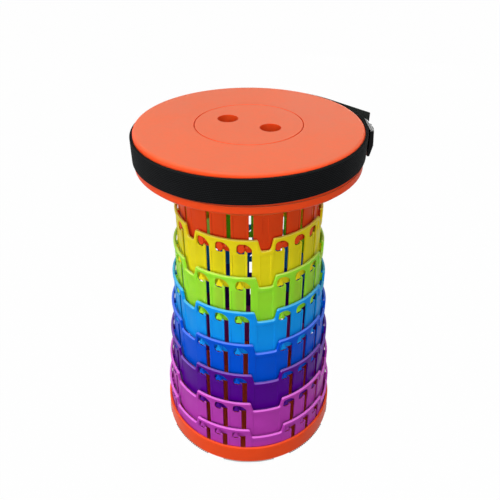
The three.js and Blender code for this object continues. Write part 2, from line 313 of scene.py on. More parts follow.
def makeDustAndSheen():  # pale dust, and on the seat a painted sheen, on faces that look up
    group, start, end = newGroup("dustAndSheen", [
        ("Vector", "NodeSocketVector", None),
        ("Colour", "NodeSocketColor", (0.8, 0.2, 0.1, 1)),
        ("Dust And Sheen Colour", "NodeSocketColor", dustAndSheenLook["colour"]),
        ("Amount", "NodeSocketFloat", 0.05),
    ], [("Colour", "NodeSocketColor")])
    given = start.outputs
    facing = node(group, "ShaderNodeNewGeometry")
    upward = node(group, "ShaderNodeSeparateXYZ", {"Vector": facing.outputs["Normal"]})
    patches = ramp(group, noise(group, given["Vector"], dustAndSheenLook["specks"], 5.0), 0.3, 0.7, dustAndSheenLook["thin"])
    lying = ramp(group, upward.outputs["Z"], dustAndSheenLook["steepest"])
    share = maths(group, "MULTIPLY", maths(group, "MULTIPLY", patches, lying), given["Amount"])
    group.links.new(blend(group, share, given["Colour"], given["Dust And Sheen Colour"]), end.inputs["Colour"])
    return group


paintedLightLook = {"gain": 1.7, "lift": 0.14, "limit": 0.95, "darkest": 0.55}


def makePaintedLight():  # painted light: a tone over 0 lightens the plastic as a painted highlight, and one under 0 darkens it as painted shade
    group, start, end = newGroup("paintedLight", [
        ("Colour", "NodeSocketColor", (0.8, 0.2, 0.1, 1)),
        ("Painted Tone", "NodeSocketFloat", 0.0),
    ], [("Colour", "NodeSocketColor")])
    colour, paintedTone = start.outputs["Colour"], start.outputs["Painted Tone"]
    gain, lift, limit = [(paintedLightLook[key],) * 3 for key in ("gain", "lift", "limit")]
    brighter = node(group, "ShaderNodeVectorMath", {0: colour, 1: gain, 2: lift}, operation="MULTIPLY_ADD")
    limited = node(group, "ShaderNodeVectorMath", {0: brighter.outputs[0], 1: limit}, operation="MINIMUM")
    mixed = blend(group, ramp(group, paintedTone), colour, limited.outputs[0])
    dark = ramp(group, paintedTone, -1.0, 0.0, paintedLightLook["darkest"])
    group.links.new(scaled(group, mixed, dark), end.inputs["Colour"])
    return group


mouldedSkin = makeMouldedSkin()
dustAndSheen = makeDustAndSheen()
paintedLight = makePaintedLight()


def srgb(code):  # a colour written as on a screen, in the linear values that a shader takes
    values = [int(code[k:k + 2], 16) / 255 for k in (0, 2, 4)]
    return (*[v / 12.92 if v < 0.04045 else ((v + 0.055) / 1.055) ** 2.4 for v in values], 1)


def newMaterial(name):
    material = bpy.data.materials.new(name)
    material.use_nodes = True
    return material, material.node_tree, material.node_tree.nodes["Principled BSDF"]


def addBump(tree, shader, height, strength, depth):
    bump = node(tree, "ShaderNodeBump", {"Height": height, "Strength": strength, "Distance": depth * mm})
    tree.links.new(bump.outputs["Normal"], shader.inputs["Normal"])


def addSkin(tree, shader, colour, roughness, grainSize, grainDepth, strength):
    place = node(tree, "ShaderNodeTexCoord").outputs["Object"]
    skin = node(tree, "ShaderNodeGroup", {"Vector": place, "Colour": srgb(colour), "Grain Size": grainSize,
                                          "Roughness": roughness}, node_tree=mouldedSkin)
    tree.links.new(skin.outputs["Roughness"], shader.inputs["Roughness"])
    addBump(tree, shader, skin.outputs["Height"], strength, grainDepth)
    return place, skin.outputs["Colour"]


def plasticMaterial(name, colour, clear=0.6, roughness=0.36, gloss=0.04, grainSize=1500.0, grainDepth=0.02,
                    dustAndSheenAmount=0.04, dustAndSheenColour=dustAndSheenLook["colour"]):
    material, tree, shader = newMaterial(name)
    place, plain = addSkin(tree, shader, colour, roughness, grainSize, grainDepth, 0.35)
    dustedAndSheened = node(tree, "ShaderNodeGroup", {"Vector": place, "Colour": plain, "Amount": dustAndSheenAmount,
                                           "Dust And Sheen Colour": dustAndSheenColour}, node_tree=dustAndSheen)
    # painted highlight and painted shade, read from a tone stored on each face
    edges = node(tree, "ShaderNodeAttribute", attribute_name="paintedLight")
    withPaintedLight = node(tree, "ShaderNodeGroup", {"Colour": dustedAndSheened.outputs["Colour"], "Painted Tone": edges.outputs["Fac"]},
                 node_tree=paintedLight)
    tree.links.new(withPaintedLight.outputs["Colour"], shader.inputs["Base Color"])
    shader.inputs["Specular IOR Level"].default_value = gloss
    shader.inputs["Subsurface Weight"].default_value = clear
    shader.inputs["Subsurface Radius"].default_value = (1, 1, 1)
    shader.inputs["Subsurface Scale"].default_value = 3 * mm
    return material


plasticColours = {  # the colour, and how much light goes through the wall
    "orange": ("ea4a1b", 0.25), "yellow": ("f2de1c", 0.6), "lime": ("9ce636", 1.0), "sky": ("1094ee", 0.3),
    "blue": ("0050d0", 0.1), "purple": ("500088", 0.1), "pink": ("b03aaa", 0.15),
}
plastics = {name: plasticMaterial(name + "Plastic", *finish) for name, finish in plasticColours.items()}
# on the seat and lid the upward faces turn a paler orange: a painted sheen of the light from above, with a
# little dust
seatPlastic = plasticMaterial("seatPlastic", *plasticColours["orange"], roughness=0.45, gloss=0.09,
                              dustAndSheenAmount=0.6, dustAndSheenColour=dustAndSheenLook["seatSheenColour"])
print("plastics ready")


# The rings: a sixth of each is drawn flat, outwards to -Y, then copied along X and bent round
stool = {
    "lastRing": 8, "groups": 6, "groupAngle": -16, "straightRing": 5, "twist": 0.2, "slotSpacing": 24.3,
    "slotWidth": 4.5, "slotGrowth": 0.27, "slotBevel": 1.3, "slotFoot": 9, "wall": 1.8, "pitch": 4.52,
    "lipProud": 1, "lipHeight": 4.2, "lipSide": 4, "lipRound": 1.5, "lipUnderRound": 2.5,
    "raisedLeft": 43.74, "raisedRight": 36.45, "notchDepth": 14.5, "notchLean": 3.2, "notchRound": 2.6,
    "cheek": 1.5, "cheekRise": 0.2, "cheekRound": 0.4, "brow": 1.5, "browReach": 2, "edge": 0.2, "steps": 24,
    "weld": 0.05, "join": 0.005,
}
window = {
    "top": 5.2, "depth": 12.8, "left": 14.3, "crest": 3, "fall": 6.5, "pocketRound": 5, "crestRound": 9,
    "shoulderRound": 5, "slotRound": 0.9, "nibWidth": 2.6, "nibHeight": 4, "nibFoot": 1.2, "nibLean": 0.6,
    "nibSideRound": 1.6, "nibTipRound": 0.3, "nibFootRound": 0.6,
}
peg = {
    "offset": 9.9, "halfWidth": 4.1, "lift": 0.2, "below": 1, "root": 0.5, "round": 0.9, "spare": 0.4,
    "lastRound": 1, "wide": 4.1, "tall": 5.7, "points": 24,
    "radius": 3.5, "lobe": 1, "lobes": 3, "stretch": 1.4, "lobePoints": 30,
}
lump = {"across": 5.6, "up": 7.4, "width": 3.4, "round": 0.3}  # the small one beside each round peg
panel = {"strip": 3, "depth": 0.3, "slope": 0.4, "wideDepth": 0.6, "wideSlope": 1, "top": 1.6, "foot": 1.5}
paintedTone = {"slot": 1, "panel": -1, "lip": 0.55, "sideways": 0.2, "upward": 0.25}  # painted highlight (over 0) on the lip and the slot edges, painted shade (under 0) on the panel sides
ringColour = ["orange", "orange", "yellow", "lime", "sky", "blue", "purple", "pink", "pink"]

def ringSize(i):
    low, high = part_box(f"ring_{i}" if i else "seat_ring")
    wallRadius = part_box("ring_8")[1].y / mm - stool["lipProud"] - (stool["lastRing"] - i) * stool["pitch"]
    sector = math.tau / stool["groups"] * wallRadius
    rim = high.z / mm
    windowTop = rim - window["top"]
    return {"wallRadius": wallRadius, "sector": sector, "foot": low.z / mm, "rim": rim,
            "notch": rim - stool["notchDepth"], "top": windowTop, "floor": windowTop - window["depth"],
            "slot": (stool["slotWidth"] + i * stool["slotGrowth"]) / 2,
            "right": (stool["raisedRight"] + sector - stool["raisedLeft"]) / 2,
            "left": (stool["raisedRight"] - sector - stool["raisedLeft"]) / 2}


def slotPlaces(shift=0):
    return [place * stool["slotSpacing"] - shift for place in (-1, 0, 1)]


def windowCutter(size):
    half, foot, top, floor = size["slot"], size["foot"] + stool["slotFoot"], size["top"], size["floor"]
    footRound = half * window["slotRound"]
    nib = -half - window["nibWidth"]
    outline = rounded([
        (half, foot, footRound), (half, top - window["fall"], window["shoulderRound"]),
        (-window["crest"], top, window["crestRound"]), (-window["left"], top, window["pocketRound"]),
        (-window["left"], floor, window["pocketRound"]),
        (nib - window["nibLean"], floor, window["nibSideRound"]),
        (nib, floor + window["nibHeight"], window["nibTipRound"]),
        (-half, floor + window["nibFoot"], window["nibFootRound"]), (-half, foot, footRound),
    ])
    return plate("window", outline, stool["wall"] + over, -stool["lipProud"] - over)


def stepBackCutter(size):  # what is cut away in front of the wall, below the lip
    lean, side = stool["notchLean"] / 2, stool["lipSide"]
    foot, lipUnder = size["foot"] - over, size["rim"] - stool["lipHeight"]
    lipFoot = size["notch"] - stool["lipHeight"]
    start, end = size["left"] - 2 * over, size["right"] + 2 * over
    left, right = -stool["raisedLeft"] + side, stool["raisedRight"] - side
    outline = rounded([
        (start, foot, 0), (end, foot, 0), (end, lipFoot, 0), (right, lipFoot, stool["lipRound"]),
        (right - lean, lipUnder, stool["lipUnderRound"]), (left + lean, lipUnder, stool["lipUnderRound"]),
        (left, lipFoot, stool["lipRound"]), (start, lipFoot, 0),
    ])
    return plate("stepBack", outline, 0, -stool["lipProud"] - over)


def notchCutter(size, edge, end, way):  # half a notch, from its edge to beyond the end of the drawing
    low, high, lean, cheek = size["notch"], size["rim"], stool["notchLean"], stool["cheek"]
    inner = edge - way * (lean + cheek)
    outline = rounded([
        (end, low, 0), (edge, low, stool["notchRound"]), (edge - way * lean, high - cheek, cheek),
        (inner, high + stool["cheekRise"], stool["cheekRound"]), (inner, high + over, 0),
        (end, high + over, 0),
    ])
    return plate("notch", outline, stool["wall"] + over, -stool["lipProud"] - over)


def trough(x0, x1, z0, z1, depth, slope):  # a shallow panel with sloping sides, sunk in the face of the wall
    cutter = block("trough", (x0 - slope, -depth, z0), (x1 + slope, depth, z1))
    pick(cutter, "FACE", lambda p: p.y > 0)
    bpy.ops.transform.resize(value=((x1 - x0) / (x1 - x0 + 2 * slope), 1, (z1 - z0 - slope) / (z1 - z0)),
                             center_override=((x0 + x1) / 2 * mm, depth * mm, z0 * mm))
    leaveEdit()
    return cutter


def around(count, start=0):
    return [math.radians(start) + n * math.tau / count for n in range(count)]


def pegOutline(i):  # round on the highest rings, and with three lobes, one of them on top, on the others
    if i <= peg["lastRound"]:
        wide, tall = peg["wide"], peg["tall"]
        return [(wide * math.sin(a), tall - tall * math.cos(a)) for a in around(peg["points"])]
    turns = around(peg["lobePoints"])
    reach = [(a, peg["radius"] + peg["lobe"] * math.cos(peg["lobes"] * a)) for a in turns]
    outline = [(r * math.sin(a), r * math.cos(a) * peg["stretch"]) for a, r in reach]
    lowest = min(z for x, z in outline)
    return [(x, z - lowest) for x, z in outline]


def addPegs(ring, i, size):
    outer = ringSize(i + 1)
    scale = size["wallRadius"] / outer["wallRadius"]
    tip = -(stool["pitch"] - peg["below"])
    model = plate("peg", [(x * scale, z) for x, z in pegOutline(i)], peg["root"], tip)
    bevelWhere(model, lambda p: p.y < tip + close, peg["round"])
    across, up, half = lump["across"], lump["up"], lump["width"] / 2
    small = block("lump", (across - half, tip + sunk, up - half), (across + half, peg["root"], up + half))
    roundEdges(small, lump["width"] * lump["round"], 4)
    for x in slotPlaces():
        move = ((x - peg["offset"]) * scale, 0, outer["floor"] + peg["lift"])
        combine(ring, copyOf(model, move), "UNION")
        if i <= peg["lastRound"]:
            combine(ring, copyOf(small, move), "UNION")
    bpy.data.objects.remove(model)
    bpy.data.objects.remove(small)


def addGrooves(ring, size):  # inside, where the smaller ring's pegs run
    depth = stool["wall"] - peg["below"] + peg["spare"] / 2  # 1 mm, which leaves 0.8 mm of wall
    half, high = peg["halfWidth"] + peg["spare"], size["top"] - window["depth"] / 2
    cutter = block("groove", (-half, stool["wall"] - depth, size["foot"] - over),
                   (half, stool["wall"] + over, high))
    combine(ring, spread(cutter, [(x, 0, 0) for x in slotPlaces(peg["offset"])]))


def browEdges(ring, size):  # rounds the upper outer edge of the lip, along the raised stretch and the notches
    inward = stool["notchLean"] + stool["browReach"]

    def onBrow(p):
        onNotch = p.x > stool["raisedRight"] - inward or p.x < inward - stool["raisedLeft"]
        onTop = p.z > size["rim"] - close
        return p.y < close - stool["lipProud"] and p.z > size["notch"] - close and (onNotch or onTop)
    bevelWhere(ring, onBrow, stool["brow"], 4, True)


def bendRound(ring, i, size):  # the drawing without its ends, six times in a row, bent to a circle
    tidyMesh(ring, stool["weld"])
    roundEdges(ring, stool["edge"], clamp=False)
    pick(ring, "VERT", lambda p: p.z < size["foot"] + close)  # what the rounding left under the foot goes up
    bpy.ops.transform.resize(value=(1, 1, 0), center_override=(0, 0, size["foot"] * mm))
    leaveEdit()
    bpy.ops.object.mode_set(mode="EDIT")
    for n in range(stool["steps"] + 1):
        bpy.ops.mesh.select_all(action="SELECT")
        x = size["left"] + size["sector"] * n / stool["steps"]
        bpy.ops.mesh.bisect(plane_co=(x * mm, 0, 0), plane_no=(1, 0, 0), clear_inner=n == 0,
                            clear_outer=n == stool["steps"])
    bpy.ops.object.mode_set(mode="OBJECT")
    modify(ring, "ARRAY", count=stool["groups"], use_relative_offset=False, use_constant_offset=True,
           constant_offset_displace=(size["sector"] * mm, 0, 0), use_merge_vertices=True,
           merge_threshold=stool["join"] * mm)
    modify(ring, "SIMPLE_DEFORM", deform_method="BEND", deform_axis="Z", angle=math.tau)
    ring.data.transform(Matrix.Translation((0, -size["wallRadius"] * mm, 0)))
    turn = stool["groupAngle"] + max(0, stool["straightRing"] - i) * stool["twist"]
    ring.data.transform(Matrix.Rotation(math.radians(turn), 4, "Z"))
    tidyMesh(ring)


def bevelSlots(ring, size):  # a wider bevel on the left edge of each slot
    top, lefts = size["floor"] + window["nibFoot"], slotPlaces(size["slot"])

    def onLeftEdge(p):
        return p.z < top and abs(p.y) < close and any(abs(p.x - left) < close for left in lefts)
    bevelWhere(ring, onLeftEdge, stool["slotBevel"])


def sinkPanels(ring, size):
    low, high = size["foot"] + panel["foot"], size["floor"] - panel["top"]
    slots, edge = slotPlaces(), size["slot"] + panel["strip"]
    for a, b in zip(slots, slots[1:]):
        combine(ring, trough(a + edge, b - edge, low, high, panel["depth"], panel["slope"]))
    high = size["notch"] - stool["lipHeight"] - panel["top"]
    slope = panel["wideSlope"]
    start, end = size["left"] - over - slope, size["right"] + over + slope
    for a, b in ((stool["raisedRight"], end), (start, -stool["raisedLeft"])):
        combine(ring, trough(a, b, low, high, panel["wideDepth"], slope))


def paintLightAndShade(ring, size):  # painted highlight on the lip and on the left edge of each slot, painted shade on the sides of the panels
    layer = ring.data.attributes.new("paintedLight", "FLOAT", "FACE")
    low, lefts = size["notch"] - stool["brow"] - close, slotPlaces(size["slot"])
    for face in ring.data.polygons:
        x, y, z = face.center / mm
        sideways = abs(face.normal.x) > paintedTone["sideways"] and face.normal.y < -paintedTone["sideways"]
        if sideways and any(left - stool["slotBevel"] < x < left for left in lefts):
            layer.data[face.index].value = paintedTone["slot"]
        elif sideways and 0 < y < panel["wideDepth"] and abs(x) < stool["slotSpacing"]:
            layer.data[face.index].value = paintedTone["panel"]
        elif face.normal.z > paintedTone["upward"] and z > low:
            layer.data[face.index].value = paintedTone["lip"]


def makeRing(i):
    size = ringSize(i)
    ring = block(f"ring{i}", (size["left"] - over, -stool["lipProud"], size["foot"]),
                 (size["right"] + over, stool["wall"], size["rim"]))
    combine(ring, stepBackCutter(size))
    combine(ring, notchCutter(size, stool["raisedRight"], size["right"] + 2 * over, 1))
    combine(ring, notchCutter(size, -stool["raisedLeft"], size["left"] - 2 * over, -1))
    browEdges(ring, size)
    combine(ring, spread(windowCutter(size), [(x, 0, 0) for x in slotPlaces()]))
    bevelSlots(ring, size)
    sinkPanels(ring, size)
    addGrooves(ring, size)
    if i < stool["lastRing"]:
        addPegs(ring, i, size)
    paintLightAndShade(ring, size)
    bendRound(ring, i, size)
    smooth(ring)
    body = "base" if i == stool["lastRing"] else f"stage_{i}"
    colour = ringColour[i]
    finishPiece(ring, f"ring{i}", body, colour + "_plastic", plastics[colour], f"ring_{i}")


for i in range(1, stool["lastRing"] + 1):
    makeRing(i)


# The ring under the seat, with a flange for the screws
screwPlan = {
    "count": 6, "start": 14, "circle": 70.76, "boss": 3.6, "bossFoot": 423.6, "hole": 1.7, "holeTop": 428.3,
    "flangeTop": 423.3, "flange": 2.4, "flangeBore": 66.96, "flangeSunk": 0.6, "flangeRound": 0.4,
}


def screwTurns():
    return around(screwPlan["count"], screwPlan["start"])


def atScrew(model, turn):
    return copyOf(model, (0, -screwPlan["circle"], 0), turn)


def makeSeatRing():
    size = ringSize(0)
    ring = block("seatRing", (size["left"] - over, 0, size["foot"]),
                 (size["right"] + over, stool["wall"], size["rim"]))
    addPegs(ring, 0, size)
    bendRound(ring, 0, size)
    bore, edge = screwPlan["flangeBore"], size["wallRadius"] - stool["wall"] + screwPlan["flangeSunk"]
    top, low = screwPlan["flangeTop"], screwPlan["flangeTop"] - screwPlan["flange"]
    soft = screwPlan["flangeRound"]
    section = rounded([(bore, low, soft), (edge, low, 0), (edge, top, 0), (bore, top, soft)])
    combine(ring, spun("flange", section), "UNION")
    hole = post("hole", screwPlan["hole"], low - over, top + over, sides=20)
    for turn in screwTurns():
        combine(ring, atScrew(hole, turn))
    bpy.data.objects.remove(hole)
    smooth(ring)
    finishPiece(ring, "seatRing", "seat", "orange_plastic", plastics["orange"], "seat_ring")


makeSeatRing()


# The seat: a plate with a well for the lid and a skirt that ends in a lobed lip
seat = {
    "edgeRound": 4, "plate": 3.7, "skirt": 2.5, "proud": 1.4, "ledgeTop": 399.4, "taperTop": 391.9,
    "taperIn": 4.9, "footThickness": 2.2, "well": 59.5, "restWidth": 3.4, "restDepth": 5, "rest": 2.4,
    "collar": 2.4, "lobes": 8, "lobeStart": 2, "gapDepth": 2.8, "gapWidth": 62, "gapIn": 8,
    "gapSteps": 10, "gapPower": 4, "wellRound": 0.5, "wellFoot": 0.2, "restRound": 0.3, "restUnder": 0.4,
    "collarRound": 0.6, "collarTop": 0.8, "plateRound": 1.2, "taperRound": 2, "footInside": 0.6,
    "footOutside": 0.8, "ledgeRound": 1.2, "seam": 0.3,
}


def makeSeat():
    low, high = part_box("seat_shell")
    top, foot, ledge = high.z / mm, low.z / mm, high.y / mm
    radius, well = ledge - seat["proud"], seat["well"]
    bore, under = radius - seat["skirt"], top - seat["plate"]
    restTop = top - seat["restDepth"]
    restFoot = restTop - seat["rest"]
    rest, collar, taperFoot = well - seat["restWidth"], well + seat["collar"], ledge - seat["taperIn"]
    shell = spun("seat", rounded([
        (well, top, seat["wellRound"]), (well, restTop, seat["wellFoot"]), (rest, restTop, seat["restRound"]),
        (rest, restFoot, seat["restUnder"]), (collar, restFoot, seat["collarRound"]),
        (collar, under, seat["collarTop"]), (bore, under, seat["plateRound"]),
        (bore, seat["taperTop"], seat["taperRound"]),
        (taperFoot - seat["footThickness"], foot, seat["footInside"]),
        (taperFoot, foot, seat["footOutside"]), (ledge, seat["taperTop"], seat["taperRound"]),
        (ledge, seat["ledgeTop"], seat["ledgeRound"]), (radius, seat["ledgeTop"], seat["seam"]),
        (radius, top, seat["edgeRound"]),
    ], 6), 180)
    half, steps = seat["gapWidth"] / 2, seat["gapSteps"]
    across = [half * n / steps for n in range(-steps, steps + 1)]
    bow = [(s, foot + seat["gapDepth"] * (1 - (s / half) ** seat["gapPower"])) for s in across]
    outline = [(-half, foot - over), *bow, (half, foot - over)]
    gap = plate("gap", outline, -bore + seat["gapIn"], -ledge - over)
    for turn in around(seat["lobes"], seat["lobeStart"] + 180 / seat["lobes"]):
        combine(shell, copyOf(gap, (0, 0, 0), turn))
    boss = post("boss", screwPlan["boss"], screwPlan["bossFoot"], under + sunk, sides=32)
    hole = post("hole", screwPlan["hole"], screwPlan["bossFoot"] - over, screwPlan["holeTop"], sides=20)
    for turn in screwTurns():
        combine(shell, atScrew(boss, turn), "UNION")
        combine(shell, atScrew(hole, turn))
    for model in (gap, boss, hole):
        bpy.data.objects.remove(model)
    smooth(shell, 30)
    finishPiece(shell, "seat", "seat", "orange_plastic", seatPlastic, "seat_shell")


makeSeat()


# The lid in its middle, with two finger holes
lid = {
    "radius": 58.6, "thickness": 2.6, "rim": 2.5, "rimFoot": 427.6, "round": 0.5, "hole": 11.5, "collar": 1.5,
    "collarFoot": 423.3, "spacing": 53.4, "turn": -30.4, "underRound": 0.8, "rimRound": 0.5, "rimEdge": 0.4,
}


def makeLid():
    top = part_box("seat_lid")[1].z / mm
    under, bore = top - lid["thickness"], lid["radius"] - lid["rim"]
    disc = spun("lid", rounded([
        (0, under, 0), (bore, under, lid["underRound"]), (bore, lid["rimFoot"], lid["rimRound"]),
        (lid["radius"], lid["rimFoot"], lid["rimEdge"]), (lid["radius"], top, lid["round"]), (0, top, 0),
    ]), 120)
    reach, turn = lid["spacing"] / 2, math.radians(lid["turn"])
    for side in (-1, 1):
        x, y = side * reach * math.cos(turn), side * reach * math.sin(turn)
        collar = post("collar", lid["hole"] + lid["collar"], lid["collarFoot"], top - sunk, x, y, 64)
        combine(disc, collar, "UNION")
        combine(disc, post("hole", lid["hole"], lid["collarFoot"] - over, top + over, x, y, 64))
    roundEdges(disc, lid["round"], 3)
    smooth(disc, 30)
    finishPiece(disc, "lid", "lid", "orange_plastic", seatPlastic, "seat_lid")


makeLid()


# The base, a dish with shallow rings underneath, and its ribbed rubber pads
base = {
    "floor": 4, "pad": 1.5, "panel": 1, "panelRadius": 97.1, "bore": 114.22, "draft": 0.6, "round": 1.6,
    "grooves": (30, 55, 80), "grooveWidth": 1.5, "grooveDepth": 0.4, "grooveSlope": 0.3, "panelRound": 0.2,
    "footRound": 0.8, "boreRound": 0.6, "floorRound": 2,
}
pad = {"count": 8, "angle": 34, "inner": 108.6, "outer": 115.9, "teeth": 22, "tooth": 1.7, "proud": 2.3,
       "round": 0.3}


def makeBase():
    radius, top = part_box("base_ring")[1].y / mm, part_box("base_ring")[1].z / mm
    low, half, slope = base["panel"], base["grooveWidth"] / 2, base["grooveSlope"]
    deep, edge, bore = low + base["grooveDepth"], base["panelRadius"], base["bore"]
    under = [(0, low, 0)]
    for r in base["grooves"]:
        under += [(r - half, low, 0), (r - half + slope, deep, 0)]
        under += [(r + half - slope, deep, 0), (r + half, low, 0)]
    dish = spun("base", rounded([
        *under, (edge, low, base["panelRound"]), (edge, base["pad"], 0),
        (radius, base["pad"], base["footRound"]), (radius - base["draft"], top, base["round"]),
        (bore, top, base["boreRound"]), (bore, base["floor"], base["floorRound"]), (0, base["floor"], 0),
    ]), 180)
    smooth(dish, 30)
    finishPiece(dish, "base", "base", "orange_plastic", plastics["orange"], "base_ring")


def makePads(material):
    inner, outer, top, half = pad["inner"], pad["outer"], base["pad"], pad["tooth"] / 2
    section = [(r, z, pad["round"]) for r, z in ((inner, 0), (outer, 0), (outer, top), (inner, top))]
    strip = spun("pad", rounded(section, 2), 16, pad["angle"], -pad["angle"] / 2)
    closeEnds(strip)
    tooth = block("tooth", (-half, -outer - pad["proud"], 0), (half, -outer + sunk, top))
    roundEdges(tooth, pad["round"])
    step = pad["angle"] / pad["teeth"]
    turns = [math.radians((n + 0.5) * step - pad["angle"] / 2) for n in range(pad["teeth"])]
    model = joined([strip, *[copyOf(tooth, (0, 0, 0), turn) for turn in turns]])
    for n in range(pad["count"]):
        one = copyOf(model, (0, 0, 0), n * math.tau / pad["count"])
        smooth(one)
        finishPiece(one, f"pad{n + 1}", "base", "pad_rubber", material, f"foot_pad_{n + 1}")
    bpy.data.objects.remove(tooth)
    bpy.data.objects.remove(model)


def rubberMaterial():
    material, tree, shader = newMaterial("padRubber")
    skin = addSkin(tree, shader, "161617", roughness=0.8, grainSize=2500.0, grainDepth=0.05, strength=0.5)
    tree.links.new(skin[1], shader.inputs["Base Color"])
    shader.inputs["Specular IOR Level"].default_value = 0.1
    return material


makeBase()
makePads(rubberMaterial())


# Screws that hold the flange to the seat
screw = {
    "head": 3.1, "headHeight": 1.9, "headTaper": 0.6, "headRound": 0.8, "rimRound": 0.4, "underRound": 0.2,
    "shank": 1.4, "neck": 1.5, "underFlange": 420.6, "tip": 428.0, "tipRadius": 0.5, "tipLength": 0.6,
    "cross": 0.9, "crossReach": 1.9, "crossDepth": 1.2, "pitch": 0.9, "thread": 0.25,
}


def steelMaterial():
    material, tree, shader = newMaterial("screwSteel")
    scratches = noise(tree, node(tree, "ShaderNodeTexCoord").outputs["Object"], 1800.0, 3.0)
    tree.links.new(ramp(tree, scratches, start=0.22, end=0.42), shader.inputs["Roughness"])
    addBump(tree, shader, scratches, 0.2, 0.01)
    shader.inputs["Base Color"].default_value = srgb("b4b6ba")
    shader.inputs["Metallic"].default_value = 1
    return material


def makeScrews(material):
    seatFace, radius, rim, tip = screw["underFlange"], screw["shank"], screw["head"], screw["tip"]
    threads, z = [], tip - screw["tipLength"]
    while z > seatFace + screw["neck"]:
        threads += [(radius, z), (radius - screw["thread"], z - screw["pitch"] / 2)]
        z -= screw["pitch"]
    low, taper = seatFace - screw["headHeight"], screw["headTaper"]
    head = rounded([(0, low, 0), (rim - taper, low, screw["headRound"]),
                    (rim, seatFace - taper, screw["rimRound"]), (rim, seatFace, screw["underRound"]),
                    (radius, seatFace, 0)])
    model = spun("screw", [*head, *reversed(threads), (screw["tipRadius"], tip), (0, tip)], 32)
    wide, thin = screw["crossReach"], screw["cross"] / 2
    for x, y in ((wide, thin), (thin, wide)):
        combine(model, block("cross", (-x, -y, low - over / 2), (x, y, low + screw["crossDepth"])))
    for n, turn in enumerate(screwTurns()):
        one = atScrew(model, turn)
        smooth(one, 30)
        finishPiece(one, f"screw{n + 1}", "seat", "screw_steel", material, f"seat_screw_{n + 1}")
    bpy.data.objects.remove(model)


makeScrews(steelMaterial())


# The strap: two turns of webbing round the seat, the outer one with a loose end
web = {
    "thickness": 1.3, "width": 26.6, "middle": 415.4, "tilt": 2.4, "seatRadius": 125.02, "gap": 0.3,
    "start": 96, "leave": -230, "loose": 62, "looseSteps": 16, "endDepth": 0.05, "faceDepth": 1, "edge": 0.55,
    "ribPitch": 1.9, "rib": 0.12, "ribHalf": 0.25, "stitch": 1.7,
}
weave = {"dark": "040405", "pale": "26292b", "paintedEdgeHighlight": "2c302e", "paintedEdgeHighlightIn": 0.1, "fuzz": 0.3,
         "depth": 0.3}


def webProfile(inner):
    outer, half, soft = inner + web["thickness"], web["width"] / 2, web["edge"]
    low, high = web["middle"] - half, web["middle"] + half
    corners = [(inner, low, soft), (outer, low, soft)]
    count = round(web["width"] / web["ribPitch"]) - 1
    for n in range(count):
        z, rib = low + web["width"] * (n + 1) / (count + 1), web["ribHalf"]
        corners += [(outer, z - rib, 0), (outer - web["rib"], z, 0), (outer, z + rib, 0)]
    return rounded(corners + [(outer, high, soft), (inner, high, soft)], 3)


def tailAxes():  # the direction of the straight loose end, and the one from the seat out to it
    leave = math.radians(web["leave"])
    return Vector((-math.cos(leave), -math.sin(leave), 0)), Vector((math.sin(leave), -math.cos(leave), 0))


def hang(piece):  # the strap hangs lower on the left than on the right
    lean = Matrix.Identity(4)
    lean[2][0] = web["tilt"] / web["seatRadius"]
    piece.data.transform(lean)


def webbingMaterial():  # u runs along the strap and v across it, both in millimetres
    material, tree, shader = newMaterial("webbing")
    place = node(tree, "ShaderNodeUVMap", uv_map="weave").outputs["UV"]
    split = node(tree, "ShaderNodeSeparateXYZ", {"Vector": place})
    along, across = split.outputs["X"], split.outputs["Y"]

    def wave(value, pitch, phase=0.0):  # 0 to 1 and back once for each pitch
        sine = maths(tree, "SINE", maths(tree, "MULTIPLY_ADD", value, math.tau / pitch, phase))
        return maths(tree, "MULTIPLY_ADD", sine, 0.5, 0.5)

    stitch, offset = wave(along, web["stitch"]), wave(along, web["stitch"], math.pi)
    knot = node(tree, "ShaderNodeMix", {"Factor": wave(across, 2 * web["ribPitch"]), 2: stitch, 3: offset})
    relief = maths(tree, "MULTIPLY", wave(across, web["ribPitch"]), knot.outputs[0])
    height = maths(tree, "MULTIPLY_ADD", noise(tree, place, 2.2, 4.0), weave["fuzz"], relief)
    # darker in the dips of the weave and paler on its crests: painted shade and painted light of the relief
    colour = blend(tree, ramp(tree, height, 0.25, 1.15), srgb(weave["dark"]), srgb(weave["pale"]))
    worn = ramp(tree, noise(tree, place, 0.02, 3.0), 0.3, 0.7, 0.85, 1.15)
    half = web["width"] / 2
    # painted highlight: a paler colour along both edges of the strap, for its lit edge
    side = ramp(tree, maths(tree, "ABSOLUTE", across), half - web["edge"], half - weave["paintedEdgeHighlightIn"])
    edged = blend(tree, side, scaled(tree, colour, worn), srgb(weave["paintedEdgeHighlight"]))
    tree.links.new(edged, shader.inputs["Base Color"])
    tree.links.new(ramp(tree, height, start=0.85, end=0.6), shader.inputs["Roughness"])
    addBump(tree, shader, height, 1.0, weave["depth"])
    shader.inputs["Specular IOR Level"].default_value = 0.05
    return material


def layWeave(piece, radius):  # the distance along the strap and across it, as a UV map
    layer = piece.data.uv_layers.new(name="weave")
    heading, out = tailAxes()
    for face in piece.data.polygons:
        middle = face.center / mm
        straight = middle.dot(heading) > close and middle.dot(out) > radius - web["faceDepth"]
        base = math.atan2(middle.x, -middle.y)
        for corner in face.loop_indices:
            p = piece.data.vertices[piece.data.loops[corner].vertex_index].co / mm
            across = p.z - p.x * web["tilt"] / web["seatRadius"] - web["middle"]
            if straight:
                along = -radius * math.radians(web["leave"]) + p.dot(heading)
            else:
                turn = math.atan2(p.x, -p.y)
                turn += math.tau * round((base - turn) / math.tau)
                along = -radius * turn
                across += math.hypot(p.x, p.y) - radius
            layer.data[corner].uv = (along, across)


